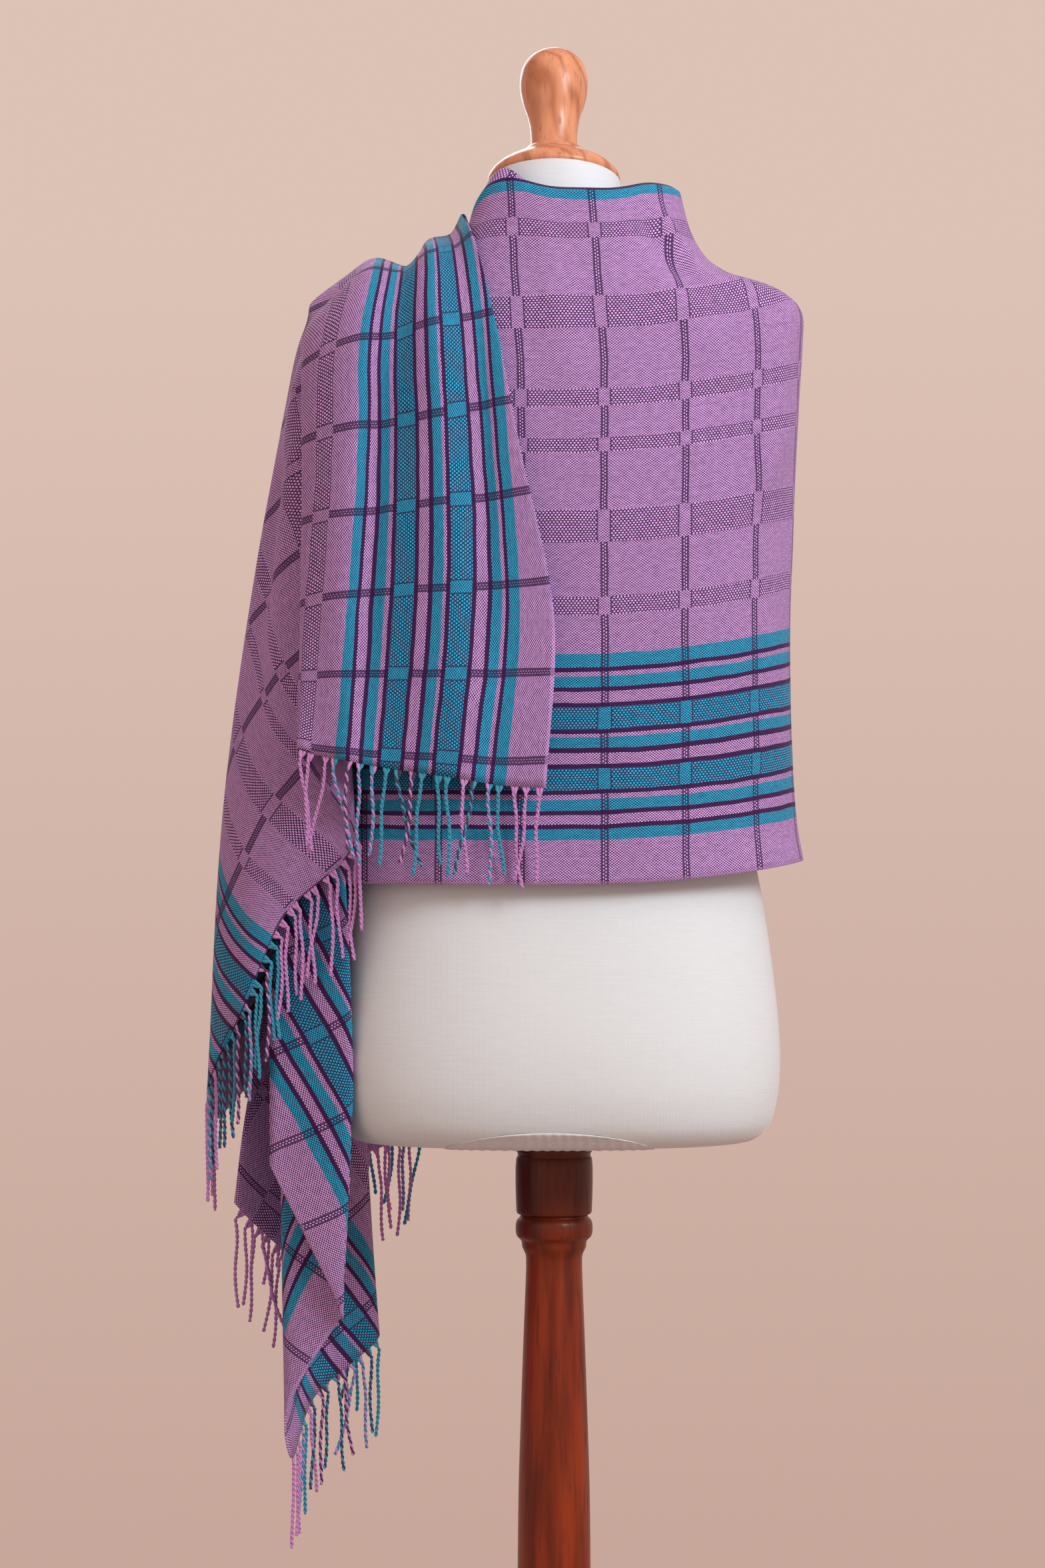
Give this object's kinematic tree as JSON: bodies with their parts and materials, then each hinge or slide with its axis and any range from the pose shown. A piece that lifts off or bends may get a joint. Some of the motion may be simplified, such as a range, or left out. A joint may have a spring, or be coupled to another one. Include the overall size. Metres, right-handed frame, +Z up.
{
  "type": "shawl on a dress form and stand",
  "caption": "Fringed rectangular shawl wrapped over the shoulders of a limbless dress form on a turned stand, one end thrown over the left shoulder.",
  "frame": {"origin": "middle of the base's underside", "axes": "+Z up along the pole, -Y towards the back of the form, +X towards the wearer's right"},
  "size_m": [0.4731, 0.392, 1.668],
  "materials": {
    "shawl_cloth": "handwoven, striped and checked, matt",
    "fringe": "twisted yarn, matt",
    "jersey": "stretched off-white jersey",
    "light_wood": "varnished",
    "dark_wood": "stained and varnished"
  },
  "bodies": {
    "root": {"back_panel": "shawl_cloth", "front_wrap": "shawl_cloth", "throw": "shawl_cloth", "tail": "shawl_cloth", "fringe_throw_back": "fringe", "fringe_throw_fold": "fringe", "fringe_throw_side": "fringe", "fringe_throw_front": "fringe", "fringe_tail_low": "fringe", "fringe_tail_middle": "fringe", "fringe_tail_inner": "fringe", "fringe_tail_last": "fringe", "form_torso": "jersey", "neck_cap": "light_wood", "knob": "light_wood", "pole": "dark_wood", "base": "dark_wood"}
  },
  "joints": []
}
